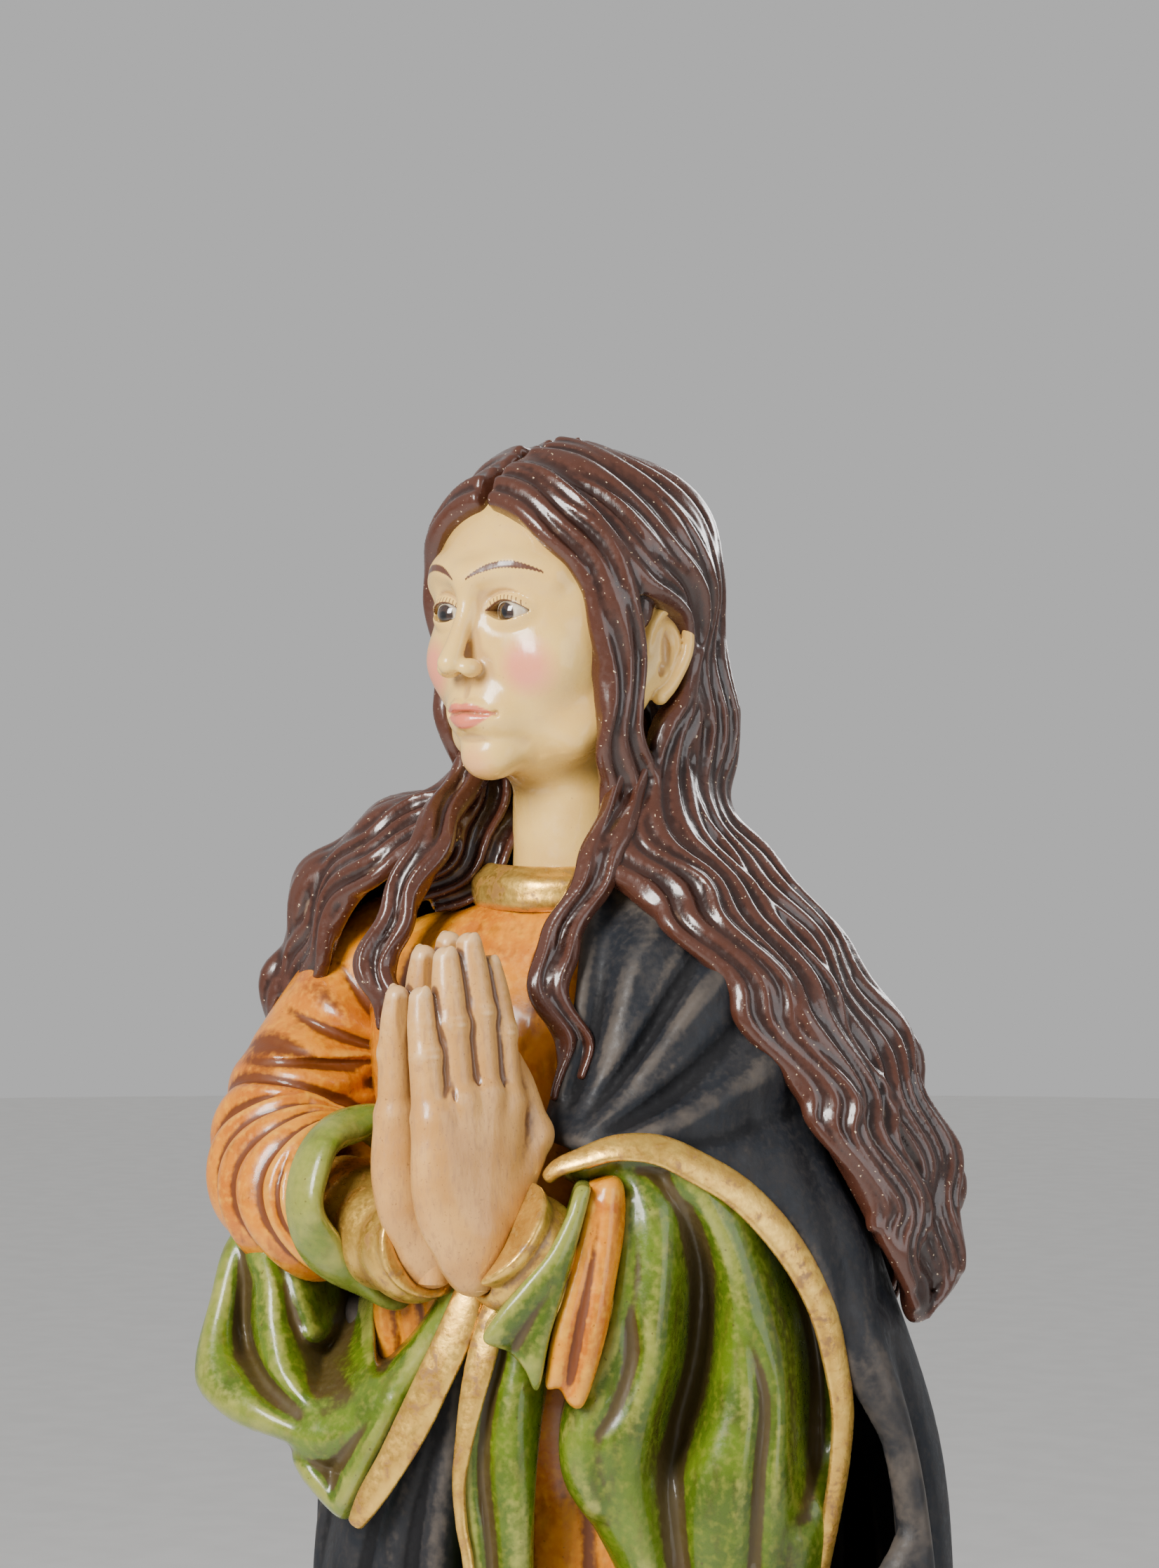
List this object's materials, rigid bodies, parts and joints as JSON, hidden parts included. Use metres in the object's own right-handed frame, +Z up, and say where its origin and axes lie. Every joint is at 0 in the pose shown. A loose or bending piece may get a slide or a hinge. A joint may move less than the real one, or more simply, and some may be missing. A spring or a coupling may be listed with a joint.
{
  "type": "madonna statue",
  "caption": "Carved and painted wooden standing madonna with joined hands, long hair and a lined mantle, on an octagonal plinth.",
  "frame": {"origin": "centre of the plinth's underside", "axes": "+Z up, the figure faces -Y and its left side is +X"},
  "size_m": [0.3329, 0.2725, 1],
  "materials": {
    "flesh_paint": "varnished oil paint over gesso on carved wood, ivory flesh",
    "hand_paint": "thin tan flesh paint over carved wood, satin, rubbed",
    "hair_paint": "dark brown glossy varnished paint over carved wood",
    "tunic_paint": "orange glazed paint over gesso, glossy",
    "lining_paint": "green paint over gesso, mottled satin gloss",
    "mantle_paint": "blue-black paint, dusty satin",
    "gilding": "worn water gilding over red clay ground",
    "plinth_paint": "dark brown varnished paint",
    "bare_wood": "unpainted lime wood or beech",
    "eye_glass": "polished glass over a dark painted iris",
    "eye_putty": "dry wax and chalk putty, matte",
    "screw_steel": "plain steel",
    "screw_brass": "brass, dull"
  },
  "bodies": {
    "figure": {"plinth_foot": "plinth_paint", "plinth_die": "plinth_paint", "plinth_top": "gilding", "plinth_screws": "screw_steel", "trunk": "tunic_paint", "back_cover": "mantle_paint", "back_cover_screws": "screw_brass", "collar": "gilding", "head_block": "hair_paint", "face_mask": "flesh_paint", "neck_dowel": "bare_wood", "mask_pins": "bare_wood", "left_eye": "eye_glass", "right_eye": "eye_glass", "left_eye_putty": "eye_putty", "right_eye_putty": "eye_putty", "left_hair_fall": "hair_paint", "right_hair_fall": "hair_paint", "back_hair_fall": "hair_paint", "left_front_lock": "hair_paint", "right_front_lock": "hair_paint", "hair_dowels": "bare_wood", "right_sleeve": "tunic_paint", "right_cuff": "lining_paint", "right_undersleeve": "gilding", "right_sleeve_dowel": "bare_wood", "left_sleeve": "tunic_paint", "left_cuff": "lining_paint", "left_undersleeve": "gilding", "left_sleeve_dowel": "bare_wood", "mantle_shoulder": "mantle_paint", "mantle_turnback": "lining_paint", "mantle_left_side": "mantle_paint", "mantle_right_side": "mantle_paint", "mantle_swag": "lining_paint", "mantle_front": "mantle_paint", "mantle_pins": "bare_wood"},
    "right_hand_body": {"right_hand": "hand_paint", "right_wrist_peg": "bare_wood"},
    "left_hand_body": {"left_hand": "hand_paint", "left_wrist_peg": "bare_wood"}
  },
  "joints": [
    {"name": "right_hand_lift", "type": "slide", "parent": "figure", "child": "right_hand_body", "axis": [0, 0, 1], "range_m": [0, 0.022]},
    {"name": "left_hand_lift", "type": "slide", "parent": "figure", "child": "left_hand_body", "axis": [0, 0, 1], "range_m": [0, 0.022]}
  ]
}
